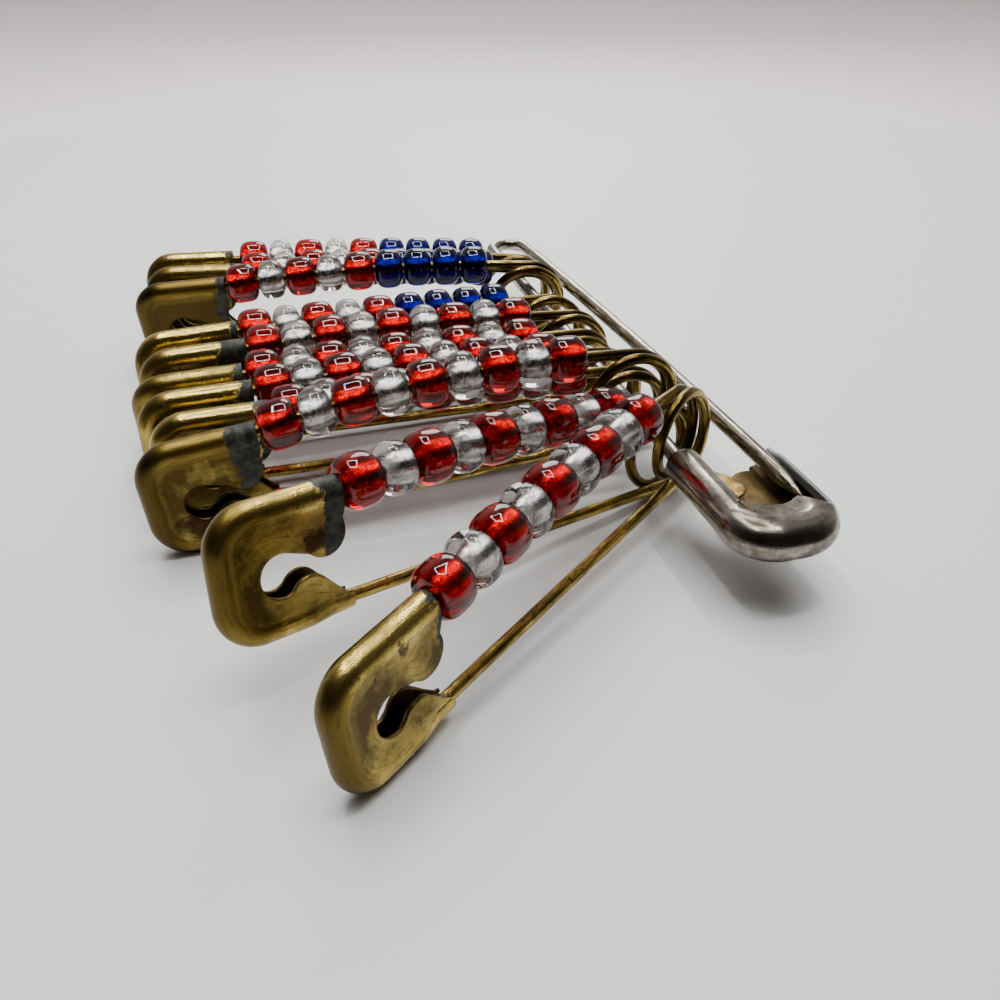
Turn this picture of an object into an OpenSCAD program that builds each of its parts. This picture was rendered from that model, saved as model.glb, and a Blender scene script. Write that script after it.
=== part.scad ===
// Safety pin brooch: one large pin carries eleven small pins strung with glass beads.
// The large pin's back leg runs along X, its arm lies on the +Y side and the small
// pins hang from the leg towards -Y, resting on the ground at Z = 0.

/* [Large pin] */
// Free length of the back leg, from the bend to the cap's sleeve
main_leg_l = 31.2; // [31:0.1:36]
// Wire of the large pin
main_wire = 0.82; // [0.7:0.02:0.9]
// Radius of the bend at the closed end, to the middle of the wire
main_bend_r = 1.22; // [1.1:0.02:1.3]
// Distance between the leg and the arm where the arm enters the cap
main_spread = 3.85; // [3.7:0.05:4.2]
// Angle at which the arm leaves the bend
main_arm_rise = 4.2; // [3.6:0.1:5]
// Height of the leg above the coil centres of resting small pins
main_rise = 1.07; // [1:0.01:1.12]
// Length of the large pin's cap
main_cap_l = 7.8; // [7.2:0.1:8]
// Thickness of the large pin's cap across its plates
main_cap_t = 1.88; // [1.76:0.02:1.9]
// Depth to which the arm's point reaches into the cap
main_tip_in = 4.2; // [3.6:0.1:4.4]
// Depth to which the leg is held in the sleeve
main_leg_in = 4.4; // [3:0.1:4.6]

/* [Small pins] */
// Length of a small pin from the coil's outer edge to the cap's end
pin_l = 26.7; // [26.7:0.1:27.6]
// Wire of the small pins
pin_wire = 0.56; // [0.5:0.01:0.58]
// Radius of the coil, to the middle of the wire
coil_r = 2.1; // [2.08:0.01:2.2]
// Clear gap between two turns of the coil
turn_gap = 0.08; // [0.06:0.01:0.1]
// Length of a small cap
cap_l = 5.7; // [5.4:0.1:5.8]
// Height of a small cap, from the arm's side to the leg's side
cap_h = 5.8; // [5.6:0.1:6]
// Height of a small cap's upper edge above the coil's centre
cap_rise = 3.5; // [3.4:0.05:3.6]
// Thickness of a small cap across its plates
cap_t = 1.28; // [1.24:0.02:1.3]
// Sheet that the caps are folded from
sheet = 0.18; // [0.15:0.01:0.2]
// Depth of the plates below the rolled ridge round them
plate_drop = 0.08; // [0.05:0.01:0.1]
// Radius of a small cap's rear corners, to the middle of the ridge
cap_corner = 1.2; // [1:0.05:1.3]
// Length of the collar that grips the leg
collar_l = 2.2; // [1.8:0.1:2.4]
// Depth to which the leg is held in the collar
leg_in = 1.8; // [1.4:0.1:1.8]
// Depth to which the arm reaches into the hood before its point starts
arm_in = 2; // [1.6:0.1:2.2]
// Length of the ground point
point_l = 1.6; // [1.2:0.1:2]

/* [Beads] */
// Diameter of the beads
bead_d = 2.4; // [2.3:0.01:2.42]
// Length of a red bead
red_l = 1.8; // [1.6:0.02:1.8]
// Length of a clear bead
clear_l = 1.5; // [1.4:0.02:1.5]
// Length of a blue bead
blue_l = 1.64; // [1.5:0.02:1.66]
// Gap between one bead and the next
bead_gap = 0.13; // [0.11:0.01:0.14]
// Rounding of a bead's edges
bead_round = 0.5; // [0.3:0.05:0.6]
// Free play of a bead's hole round the wire
bore_play = 0.12; // [0.1:0.01:0.3]

/* [Fits] */
// Clearance round a wire held in a cap
grip_gap = 0.03; // [0.02:0.01:0.05]
// Clear cut between the two halves of the large pin's bend, where it twists
twist_gap = 0.06; // [0.04:0.01:0.1]

/* [Hidden] */
$fn = 48;
BRASS = "#b8954a";
NICKEL = "#b9b6ae";
RED = "#8e1420";
CLEAR = "#c9ccce";
BLUE = "#1f3f9e";

// How each small pin lies, from the bend to the cap. Columns: step along the leg from
// the last pin (bead diameters), shift of the coil across the leg (coil radii), height
// of the coil above rest (coil radii), fan from square to the leg (degrees), lean of
// the arm (degrees), height of the cap above rest (cap heights), angle at which the
// arm leaves the coil (degrees), slip of the beads away from the hood (bead
// diameters), number of blue beads next to the coil.
STEP = 0;
SHIFT = 1;
LIFT = 2;
FAN = 3;
LEAN = 4;
CAP_UP = 5;
ARM_UP = 6;
SLIP = 7;
BLUES = 8;
LIE = [
    [2.10,  0.03, 0.00, -10,   8, 0.00,  5.0, 0.15, 4],
    [0.98,  0.03, 0.00, -10,   3, 0.00,  6.0, 0.15, 4],
    [0.66, -0.20, 0.50,  -9, -10, 0.00,  7.0, 0.00, 4],
    [1.64, -0.12, 0.05,   3,  12, 0.00,  3.0, 0.00, 4],
    [1.16,  0.00, 0.10,   1,  -2, 0.00,  5.5, 0.00, 0],
    [0.82, -0.20, 0.05,   1, -17, 0.00,  3.5, 0.00, 0],
    [1.42, -0.05, 0.04,   1,   3, 0.00,  7.0, 0.00, 0],
    [1.00,  0.20, 0.02, 0.7,   0, 0.00,  6.0, 0.00, 0],
    [0.85, -0.10, 0.94, 2.4,   1, 0.00, 11.0, 0.02, 0],
    [0.88,  0.25, 0.02,  23,  12, 0.38,  7.0, 0.00, 0],
    [0.65,  0.35, 0.70,  37,   5, 0.00,  6.0, 0.00, 0]
];
PINS = len(LIE);

function two(i) = i < 10 ? str("0", i) : str(i);
function pin_name(i, piece) = str("pin_", two(i + 1), "_", piece);

// Bent wire is a run of short straight stretches. Two stretches meet inside a ball that
// is a hair thicker than the wire, and both stop short of the ball's middle.
joint_swell = 0.012;
joint_cut = 0.06;
coil_step = 20;
bend_step = 15;
arm_steps = 6;

// Small pin in its own plane: coil centre at the origin, cap towards +X, arm above.
wire_r = pin_wire / 2;
turn_z = (pin_wire + turn_gap) / 2;
cap_end = pin_l - coil_r - wire_r;
mouth_x = cap_end - cap_l;
ridge_r = cap_t / 2;
arm_y = cap_rise - ridge_r;
leg_y = cap_rise - cap_h + ridge_r;
back_x = cap_end - ridge_r;
plate_z = ridge_r - plate_drop - sheet;

// Angle at which a line from the coil's underside reaches a point of the cap.
leg_x = mouth_x + leg_in / 2;
leg_far = norm([leg_x, leg_y]);
leg_angle = acos(-coil_r / leg_far) - atan2(leg_x, leg_y);
leg_end = [mouth_x + leg_in, leg_y + leg_in / 2 * tan(leg_angle), 0];
leg_start = [coil_r * sin(leg_angle), -coil_r * cos(leg_angle), -turn_z];

// The arm: one large arc from the coil's upper side into the hood.
function arm_start(up) = [-coil_r * sin(up), coil_r * cos(up), turn_z];
function arm_chord(up) = [mouth_x + arm_in / 2, arm_y, 0] - arm_start(up);
function arm_along(up) = arm_chord(up) * [cos(up), sin(up), 0];
function arm_off(up) = [arm_chord(up) * [-sin(up), cos(up), 0], arm_chord(up).z];
function arm_bend_r(up) = pow(norm(arm_chord(up)), 2) / (2 * norm(arm_off(up)));
function arm_roll(up) = atan2(arm_off(up).y, arm_off(up).x);
function arm_turn(up) = 2 * atan2(norm(arm_off(up)), arm_along(up));
function arm_degrees(up, l) = l / arm_bend_r(up) * 180 / PI;

// Pose of a small pin: where its coil's centre lies and how the pin is turned.
function pin_x(i) = i < 0 ? 0 : pin_x(i - 1) + LIE[i][STEP] * bead_d;
function coil_rest(i) = coil_r * cos(LIE[i][LEAN]) + turn_z * abs(sin(LIE[i][LEAN]))
    + wire_r + joint_swell;
function coil_z(i) = coil_rest(i) + LIE[i][LIFT] * coil_r;
function coil_at(i) = [pin_x(i), LIE[i][SHIFT] * coil_r, coil_z(i)];
function cap_fall(i) = LIE[i][CAP_UP] * cap_h + ridge_r - leg_y * cos(LIE[i][LEAN]) - coil_z(i);
function pitch(i) = asin(cap_fall(i) / (back_x - cap_corner));
function turn_x(a, p) = [p.x, p.y * cos(a) - p.z * sin(a), p.y * sin(a) + p.z * cos(a)];
function turn_y(a, p) = [p.x * cos(a) + p.z * sin(a), p.y, p.z * cos(a) - p.x * sin(a)];
function turn_up(a, p) = [p.x * cos(a) - p.y * sin(a), p.x * sin(a) + p.y * cos(a), p.z];
function placed(i, p) = coil_at(i)
    + turn_up(270 + LIE[i][FAN], turn_y(-pitch(i), turn_x(90 + LIE[i][LEAN], p)));

// Large pin: leg on the X axis of its own plane, arm towards +Y.
main_r = main_wire / 2;
main_ridge_r = main_cap_t / 2;
main_plate_z = main_ridge_r - plate_drop - sheet;
main_sleeve_r = main_ridge_r - plate_drop;
main_end = main_leg_l + main_cap_l;
// The hood's rim stops at this angle, just short of the arm's way out.
main_brim = 30;
main_hood_y = main_spread + main_r + joint_swell + grip_gap
    - (main_ridge_r - sheet) * cos(main_brim);
main_z = coil_r + wire_r + main_rise;
main_arm_x = main_leg_l + main_tip_in - point_l;

// Extent of the whole piece, which puts the origin under its middle.
cap_bounds = [for (a = [0 : 15 : 90])
    [back_x - cap_corner * (1 - sin(a)), leg_y + cap_corner * (1 - cos(a)), 0]];
cap_tops = [for (a = [0 : 15 : 90])
    [back_x - cap_corner * (1 - sin(a)), arm_y - cap_corner * (1 - cos(a)), 0]];
cap_spots = [for (i = [0 : PINS - 1]) for (p = concat(cap_bounds, cap_tops)) placed(i, p)];
low_x = -main_bend_r - main_r;
high_x = max([for (p = cap_spots) p.x]) + ridge_r;
low_y = min([for (p = cap_spots) p.y]) - ridge_r;
high_y = main_hood_y + main_ridge_r;
middle = [(low_x + high_x) / 2, (low_y + high_y) / 2, 0];

module in_frame() translate(-middle) children();

module pin_pose(i) {
    in_frame()
        translate(coil_at(i))
            rotate([0, 0, 270 + LIE[i][FAN]])
                rotate([0, -pitch(i), 0])
                    rotate([90 + LIE[i][LEAN], 0, 0])
                        children();
}

// Turns a child's Z axis to run from one point to another.
module along(p, q) {
    d = q - p;
    translate(p) rotate([0, acos(d.z / norm(d)), atan2(d.y, d.x)]) children();
}

module joint_ball(wire) {
    rotate([0, 0, 90]) sphere(r = wire + joint_swell);
}

// Wire bent through a list of points, with a ground point on its end if it has a tip.
module bent_wire(points, wire, tip = false) {
    last = len(points) - 1;
    for (k = [0 : last - 1]) {
        from = k == 0 ? 0 : joint_cut;
        to = k < last - 1 || tip ? joint_cut : 0;
        along(points[k], points[k + 1]) {
            if (k > 0) joint_ball(wire);
            translate([0, 0, from])
                cylinder(h = norm(points[k + 1] - points[k]) - from - to, r = wire);
        }
    }
    if (tip) {
        along(points[last], 2 * points[last] - points[last - 1]) {
            joint_ball(wire);
            translate([0, 0, joint_cut]) cylinder(h = point_l, r1 = wire, r2 = wire / 9);
        }
    }
}

// Moves a child from the origin along a curve that leaves it along +X towards +Y.
module on_curve(r, turn) {
    translate([r * sin(turn), r * (1 - cos(turn)), 0]) rotate([0, 0, turn]) children();
}

module arm_frame(up) {
    translate(arm_start(up)) rotate([arm_roll(up), 0, up]) children();
}

// Points of a small pin's wire: the leg's end, one and a half turns of coil, the arm.
function coil_z_at(a) = a > 90 ? -turn_z : a < -90 ? turn_z : -turn_z * a / 90;
function coil_point(a) = [coil_r * cos(a), coil_r * sin(a), coil_z_at(a)];
function coil_points(up) =
    let (whole = 540 + leg_angle - up, n = ceil(whole / coil_step))
    [for (k = [0 : n]) coil_point(270 + leg_angle - whole * k / n)];
function arm_point(up, l) =
    let (r = arm_bend_r(up), t = arm_degrees(up, l), q = [r * sin(t), r * (1 - cos(t)), 0])
    arm_start(up) + turn_up(up, turn_x(arm_roll(up), q));
function arm_length(up) = arm_turn(up) / 180 * PI * arm_bend_r(up) + arm_in / 2;
function wire_points(up) = concat([leg_end], coil_points(up),
    [for (k = [1 : arm_steps]) arm_point(up, arm_length(up) * k / arm_steps)]);

// Rolled edge of a folded cap, as a part of a ring seen along the edge.
function rolled(r, a0, a1, n = 12) = concat(
    [for (k = [0 : n]) r * [cos(a0 + (a1 - a0) * k / n), sin(a0 + (a1 - a0) * k / n)]],
    [for (k = [n : -1 : 0])
        (r - sheet) * [cos(a0 + (a1 - a0) * k / n), sin(a0 + (a1 - a0) * k / n)]]);

// Straight stretch of ridge along +X, its outer side towards +Y.
module ridge_run(r, l, a0, a1) {
    rotate([90, 0, 90]) linear_extrude(l) polygon([for (p = rolled(r, a0, a1)) p]);
}

// Quarter turn of ridge round a corner centre, from angle a.
module ridge_corner(r, corner, a, a0, a1) {
    rotate([0, 0, a])
        rotate_extrude(angle = 90)
            translate([corner, 0])
                polygon([for (p = rolled(r, a0, a1)) p]);
}

function arc_points(c, r, a0, a1, n) =
    [for (k = [0 : n]) c + r * [cos(a0 + (a1 - a0) * k / n), sin(a0 + (a1 - a0) * k / n)]];

// Side plate of a small cap, drawn from the cap's lower rear corner: X back towards
// the coil and Y up, in shares of the cap's length and height.
LIP_AT = [0.82, 0.65];
LIP_R = 0.165;
NOTCH_AT = [0.475, 0.46];
NOTCH_R = 0.14;
LOBE_AT = [0.675, 0.26];
LOBE_R = 0.145;
function cap_share(p) = [p.x * cap_l, p.y * cap_h];
function plate_outline() = concat(
    [[cap_l, cap_h - ridge_r], [cap_l, cap_h * 0.8]],
    arc_points(cap_share(LIP_AT), LIP_R * cap_l, 25, -140, 12),
    arc_points(cap_share(NOTCH_AT), NOTCH_R * cap_l, 75, 280, 14),
    arc_points(cap_share(LOBE_AT), LOBE_R * cap_l, 150, 35, 10),
    [cap_share([0.9, 0.23]), cap_share([1, 0.14]), [cap_l, ridge_r]],
    arc_points([ridge_r + cap_corner, ridge_r + cap_corner], cap_corner, 270, 180, 8),
    arc_points([ridge_r + cap_corner, cap_h - ridge_r - cap_corner], cap_corner, 180, 90, 8)
);

module small_plate() {
    translate([cap_end, cap_rise - cap_h, 0])
        mirror([1, 0, 0])
            linear_extrude(sheet)
                polygon(plate_outline());
}

module small_cap() {
    roll = 115;
    run = back_x - cap_corner - mouth_x;
    difference() {
        union() {
            translate([mouth_x, arm_y, 0]) ridge_run(ridge_r, run, -roll, roll);
            translate([back_x - cap_corner, arm_y - cap_corner, 0])
                ridge_corner(ridge_r, cap_corner, 0, -roll, roll);
            translate([back_x, arm_y - cap_corner, 0])
                rotate([0, 0, -90])
                    ridge_run(ridge_r, arm_y - leg_y - 2 * cap_corner, -roll, roll);
            translate([back_x - cap_corner, leg_y + cap_corner, 0])
                ridge_corner(ridge_r, cap_corner, -90, -roll, roll);
            translate([mouth_x + run, leg_y, 0])
                rotate([0, 0, 180])
                    ridge_run(ridge_r, run, -roll, roll);
            translate([mouth_x, leg_y, 0])
                rotate([0, 90, 0])
                    cylinder(h = collar_l, r = ridge_r - sheet / 4);
            translate([0, 0, plate_z]) small_plate();
            translate([0, 0, -plate_z - sheet]) small_plate();
        }
        along(leg_end, leg_start)
            cylinder(h = 4 * collar_l, r = wire_r + grip_gap, center = true);
    }
}

// Order of the beads from the hood to the coil.
function bead_kind(i, k) = k > 8 - LIE[i][BLUES] ? "blue" : k % 2 == 0 ? "red" : "clear";
function bead_l(kind) = kind == "red" ? red_l : kind == "clear" ? clear_l : blue_l;
function bead_from_mouth(i, k) = k == 0
    ? bead_gap + LIE[i][SLIP] * bead_d + bead_l(bead_kind(i, 0)) / 2
    : bead_from_mouth(i, k - 1) + bead_gap
        + (bead_l(bead_kind(i, k - 1)) + bead_l(bead_kind(i, k))) / 2;

module bead(l) {
    rotate([0, 90, 0])
        rotate_extrude()
            polygon(concat(
                [[wire_r + bore_play / 2, -l / 2]],
                arc_points([bead_d / 2 - bead_round, bead_round - l / 2], bead_round, -90, 0, 5),
                arc_points([bead_d / 2 - bead_round, l / 2 - bead_round], bead_round, 0, 90, 5),
                [[wire_r + bore_play / 2, l / 2]]));
}

module beads(i, kind) {
    up = LIE[i][ARM_UP];
    for (k = [0 : 8]) {
        if (bead_kind(i, k) == kind) {
            l = bead_from_mouth(i, k) + arm_in / 2;
            pin_pose(i)
                arm_frame(up)
                    on_curve(arm_bend_r(up), arm_turn(up) - arm_degrees(up, l))
                        bead(bead_l(kind));
        }
    }
}

module pin_wire_piece(i) color(BRASS) pin_pose(i) bent_wire(wire_points(LIE[i][ARM_UP]), wire_r, true);
module pin_cap_piece(i) color(BRASS) pin_pose(i) small_cap();
module red_beads(i) color(RED) beads(i, "red");
module clear_beads(i) color(CLEAR) beads(i, "clear");
module blue_beads(i) color(BLUE) beads(i, "blue");

module main_frame() in_frame() translate([0, 0, main_z]) children();

// The large pin's wire is cut across at the far side of its bend.
function bend_points(a, b) =
    let (n = round(abs(b - a) / bend_step))
    [for (k = [0 : n]) let (t = a + (b - a) * k / n)
        [main_bend_r * cos(t), main_bend_r * (1 + sin(t)), 0]];

module half_space(side) {
    far = 4 * main_bend_r;
    translate([-far / 2, main_bend_r + side * (far - twist_gap) / 2, 0])
        cube(far, center = true);
}

module main_pin_leg() color(NICKEL) main_frame() {
    difference() {
        bent_wire(concat([[main_leg_l + main_leg_in, 0, 0]], bend_points(-90, -180),
            [[-main_bend_r, 2 * main_bend_r, 0]]), main_r);
        half_space(1);
    }
}

// The arm: the second half of the bend and one large arc into the hood.
main_start = [-main_bend_r * sin(main_arm_rise), main_bend_r * (1 + cos(main_arm_rise))];
main_chord = [main_leg_l, main_spread] - main_start;
main_along = main_chord * [cos(main_arm_rise), sin(main_arm_rise)];
main_off = main_chord * [sin(main_arm_rise), -cos(main_arm_rise)];
main_arc_r = pow(norm(main_chord), 2) / (2 * main_off);
main_arc = 2 * atan2(main_off, main_along);
main_arm_end = main_arc + (main_arm_x - main_leg_l) / main_arc_r * 180 / PI;
function main_arm_point(t) =
    concat(main_start, 0)
    + turn_up(main_arm_rise, [main_arc_r * sin(t), main_arc_r * (cos(t) - 1), 0]);

module main_pin_arm() color(NICKEL) main_frame() {
    difference() {
        bent_wire(concat([[-main_bend_r, 0, 0]], bend_points(180, 90 + main_arm_rise),
            [for (k = [1 : arm_steps]) main_arm_point(main_arm_end * k / arm_steps)]),
            main_r, true);
        half_space(-1);
    }
}

// Plates of the large cap, drawn from its lower rear corner: X back towards the bend
// and Y towards the hood, in shares of the cap's length and height.
MAIN_CORNER = 0.19;
MAIN_LOBE_AT = [0.82, 0.72];
MAIN_LOBE_R = 0.125;
main_h = main_hood_y + 2 * main_ridge_r;
main_corner = MAIN_CORNER * main_cap_l;
function main_share(p) = [p.x * main_cap_l, p.y * main_h];
function main_rear(r) = concat(
    arc_points([r + main_corner, r + main_corner], main_corner, 270, 180, 8),
    arc_points([r + main_corner, main_h - r - main_corner], main_corner, 180, 90, 8));
function lower_plate() = concat(
    [[main_cap_l, main_h - main_ridge_r]],
    arc_points(main_share(MAIN_LOBE_AT), MAIN_LOBE_R * main_cap_l, 30, -120, 12),
    [main_share([0.74, 0.55]), main_share([0.98, 0.36]), [main_cap_l, main_ridge_r]],
    main_rear(main_ridge_r));
function upper_plate() = concat(
    [[main_cap_l * 0.4, main_h - main_ridge_r], main_share([0.32, 0.78])],
    [main_share([0.27, 0.6]), main_share([0.25, 0.48]), main_share([0.36, 0.24])],
    [main_share([0.95, 0.2]), [main_cap_l * 0.95, main_ridge_r]],
    main_rear(main_ridge_r));

module main_plate(outline) {
    translate([main_end, -main_ridge_r, 0])
        mirror([1, 0, 0])
            linear_extrude(sheet)
                polygon(outline);
}

module main_pin_cap() color(NICKEL) main_frame() {
    roll = 115;
    back = main_end - main_ridge_r;
    run = back - main_corner - main_leg_l;
    difference() {
        union() {
            translate([main_leg_l, main_hood_y, 0]) ridge_run(main_ridge_r, run, -roll, main_brim);
            translate([back - main_corner, main_hood_y - main_corner, 0])
                ridge_corner(main_ridge_r, main_corner, 0, -roll, main_brim);
            translate([back, main_hood_y - main_corner, 0])
                rotate([0, 0, -90])
                    ridge_run(main_ridge_r, main_hood_y - 2 * main_corner, -roll, roll);
            translate([back - main_corner, main_corner, 0])
                ridge_corner(main_ridge_r, main_corner, -90, -roll, roll);
            translate([main_leg_l, 0, 0])
                rotate([0, 90, 0])
                    cylinder(h = run + main_corner, r = main_sleeve_r);
            translate([0, 0, main_plate_z]) main_plate(upper_plate());
            translate([0, 0, -main_plate_z - sheet]) main_plate(lower_plate());
        }
        translate([main_leg_l - 1, 0, 0])
            rotate([0, 90, 0])
                cylinder(h = main_leg_in + 1 + grip_gap, r = main_r + grip_gap);
    }
}

main_pin_leg();
main_pin_arm();
main_pin_cap();
for (i = [0 : PINS - 1]) {
    pin_wire_piece(i);
    pin_cap_piece(i);
    red_beads(i);
    clear_beads(i);
    blue_beads(i);
}
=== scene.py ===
# %% [markdown]
# # A brooch of safety pins and glass beads
# One large nickel safety pin carries eleven small brass ones, and each small pin is
# strung with nine silver-lined glass beads. The measured solids come in first, as the
# frame that every surface made here has to fit.

# %% The measured solids
import math
import bpy
import numpy as np
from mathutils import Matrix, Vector


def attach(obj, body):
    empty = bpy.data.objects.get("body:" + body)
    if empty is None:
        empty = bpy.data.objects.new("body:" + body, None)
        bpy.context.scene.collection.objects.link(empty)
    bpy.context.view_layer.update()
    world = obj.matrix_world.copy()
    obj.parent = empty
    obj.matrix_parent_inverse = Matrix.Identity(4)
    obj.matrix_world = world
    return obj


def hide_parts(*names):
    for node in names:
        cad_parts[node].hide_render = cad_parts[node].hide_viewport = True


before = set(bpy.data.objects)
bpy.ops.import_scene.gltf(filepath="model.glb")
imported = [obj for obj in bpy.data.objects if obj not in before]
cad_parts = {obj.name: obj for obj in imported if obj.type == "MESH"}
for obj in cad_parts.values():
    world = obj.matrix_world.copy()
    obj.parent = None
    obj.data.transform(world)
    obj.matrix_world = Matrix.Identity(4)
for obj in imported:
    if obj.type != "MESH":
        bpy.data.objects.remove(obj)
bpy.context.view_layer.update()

MM = 0.001


# %% [markdown]
# ## Sizes
# Everything below is worked out in millimetres, in the frame of the solids, and is only
# scaled to metres when a mesh is written. The large pin comes first, then the small pins
# and then the beads.

# %% Sizes of the pins and beads
MIDDLE = np.array([21.211, -10.0808, 0.0])  # of the brooch, from the large pin's bend
MAIN_LEG = 31.2  # large pin: straight leg, from the bend to the cap
MAIN_CAP = 7.8  # length of its cap
MAIN_T = 1.88  # thickness of its cap
MAIN_WIRE = 0.82
MAIN_BEND = 1.22  # radius of the bend
MAIN_SPREAD = 3.85  # from the leg to the arm at the cap's mouth
MAIN_UP = 4.2  # degrees at which the arm leaves the bend
MAIN_RISE = 1.07  # height of the leg over the middle of a coil
TIP_IN = 4.2  # length of the arm inside the cap
SLEEVE_IN = 4.3  # length of the leg inside the sleeve
HOOD_GAP = 0.042  # between the lying arm and the hood's wall
HOOD_ANGLE = 30  # degrees up the wall at which that gap is taken
PIN_L = 26.7  # small pin: length over all
WIRE = 0.56
COIL = 2.1  # radius of the coil, to the middle of the wire
TURN_GAP = 0.08  # between the two turns of the coil
CAP_L = 5.7  # length of the cap
CAP_H = 5.8  # its height
CAP_T = 1.28  # its thickness
CAP_RISE = 3.5  # top of the cap over the middle of the coil
CORNER = 1.2  # radius of the cap's corners
LEG_IN = 1.8  # length of the leg inside the cap
ARM_IN = 2.0  # length of the arm inside the cap, up to its point
GROUND_GAP = 0.012  # between coil and ground
SHEET = 0.18  # every cap: thickness of the sheet
DROP = 0.08  # step from the ridge down to a plate
POINT = 1.6  # every arm: length of the ground point
BLUNT = 0.1  # share of the radius left at its end
BEADS = 9
BEAD_D = 2.4
BEAD_L = {"red": 1.8, "clear": 1.5, "blue": 1.64}
BEAD_GAP = 0.13
BORE = 0.36  # radius of the hole
LINING_R = 0.5  # radius of the lining, a little way into the glass
wire_r = WIRE / 2
turn_z = (WIRE + TURN_GAP) / 2
cap_end = PIN_L - COIL - wire_r
mouth_x = cap_end - CAP_L
ridge_r = CAP_T / 2
arm_y = CAP_RISE - ridge_r
leg_y = CAP_RISE - CAP_H + ridge_r
back_x = cap_end - ridge_r
main_z = COIL + wire_r + MAIN_RISE
main_r = MAIN_WIRE / 2
main_ridge = MAIN_T / 2
main_sleeve = main_ridge - DROP
main_end = MAIN_LEG + MAIN_CAP
hood_y = MAIN_SPREAD + main_r + HOOD_GAP - (main_ridge - SHEET) * math.cos(math.radians(HOOD_ANGLE))
main_h = hood_y + 2 * main_ridge
print("large cap:", MAIN_CAP, "by", round(main_h, 2), "mm")

# %% [markdown]
# ## How the small pins differ
# Each row is a small pin, from the farthest to the nearest: the step along the leg in
# bead widths, the shift and lift of its coil in coil radii, its fan and lean in degrees,
# the lift of its cap in cap heights, the angle at which its arm leaves the coil, the slip
# of its beads in bead widths and how many of them are blue. The rows began as a fit to
# the photograph.

# %% Rows of the small pins
STEP, SHIFT, LIFT, FAN, LEAN, CAP_UP, ARM_UP, SLIP, BLUES = range(9)
LIE = np.array([
    [2.10, 0.03, 0, -10, 8, 0, 5.0, 0.15, 4],
    [0.98, 0.03, 0, -10, 3, 0, 6.0, 0.15, 4],
    [0.66, -0.20, 0.50, -9, -10, 0, 7.0, 0, 4],
    [1.64, -0.12, 0.05, 3, 12, 0, 3.0, 0, 4],
    [1.16, 0, 0.10, 1, -2, 0, 5.5, 0, 0],
    [0.82, -0.20, 0.05, 1, -17, 0, 3.5, 0, 0],
    [1.42, -0.05, 0.04, 1, 3, 0, 7.0, 0, 0],
    [1.00, 0.20, 0.02, 0.7, 0, 0, 6.0, 0, 0],
    [0.85, -0.10, 0.94, 2.4, 1, 0, 11.0, 0.02, 0],
    [0.88, 0.25, 0.02, 23, 12, 0.38, 7.0, 0, 0],
    [0.65, 0.35, 0.70, 37, 5, 0, 6.0, 0, 0],
])
PINS = len(LIE)
AGE_AND_SHEEN = [0.4, 0.6, 1.1, 0.0, 0.1, 0.35, 0.1, 0.0, 0.85, 0.45, 0.5]  # dullness of each cap, set low on the caps that catch the light as a painted sheen
TARNISH = [0.04, 0.05, 0.10, 0.06, 0.24, 0.10, 0.12, 0.10, 0.22, 0.17, 0.05]  # reach of its grey
SPOTS = {8: (2.5, 1.6, 1.5), 9: (4.3, 3.6, 0.75), 10: (3.6, 5.0, 0.45)}  # x, y and size of a stain
coil_x = np.cumsum(LIE[:, STEP]) * BEAD_D
print("coils along the leg, mm:", coil_x.round(2))

# %% [markdown]
# ## Camera
# The photograph was solved for its camera: it looks down at 33 degrees from beyond the
# large pin's cap, with a focal length equal to the picture's width, very close to the
# brooch. The near pins look much larger than the far ones because of that.

# %% Camera
EYE = np.array([67.4, -19.98, 27.63])
HEADING = 163.09  # degrees from +X towards +Y
DOWN = 32.93
LENS = 36.0
SENSOR = 36.0
data = bpy.data.cameras.new("photo_camera")
data.lens = LENS
data.sensor_width = SENSOR
data.clip_start = MM
camera = bpy.data.objects.new("photo_camera", data)
bpy.context.scene.collection.objects.link(camera)
camera.location = (EYE - MIDDLE) * MM
camera.rotation_euler = (math.radians(90 - DOWN), 0.0, math.radians(HEADING - 90))
bpy.context.scene.camera = camera
print("camera", (EYE - MIDDLE).round(2), "mm")

# %% [markdown]
# ## Surfaces from grids
# Every piece is a grid of points: one index runs along the piece and one round or across
# it. A whole stack of such grids becomes one mesh, so nine beads cost no more code than
# one.

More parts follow.
